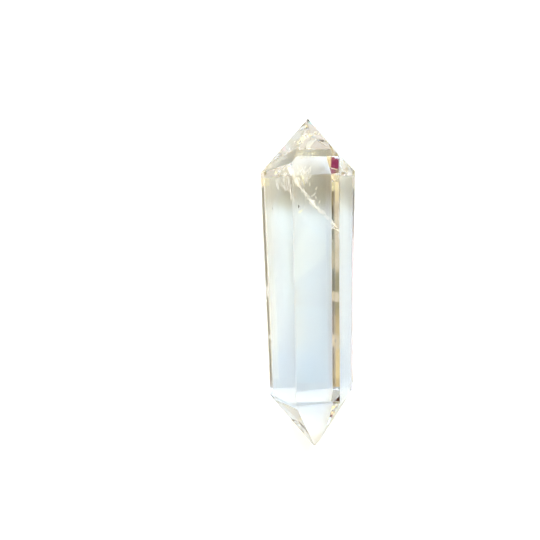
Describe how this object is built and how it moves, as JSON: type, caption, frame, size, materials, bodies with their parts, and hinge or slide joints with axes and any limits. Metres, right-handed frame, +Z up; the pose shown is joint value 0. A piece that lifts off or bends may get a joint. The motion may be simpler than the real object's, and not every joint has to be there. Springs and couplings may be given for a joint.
{
  "type": "double terminated quartz point",
  "caption": "Clear double terminated quartz crystal: a tapered hexagonal prism with a pointed pyramid at each end, lying on one of its side faces.",
  "frame": {"origin": "centre of the crystal's bounding box, on the surface that it lies on", "axes": "+Y along the crystal's long axis towards the steeper, thicker end, +Z up away from the face that it lies on"},
  "size_m": [0.0272, 0.0918, 0.0239],
  "materials": {
    "quartz": "clear polished quartz"
  },
  "bodies": {
    "root": {"quartz_point": "quartz"}
  },
  "joints": []
}
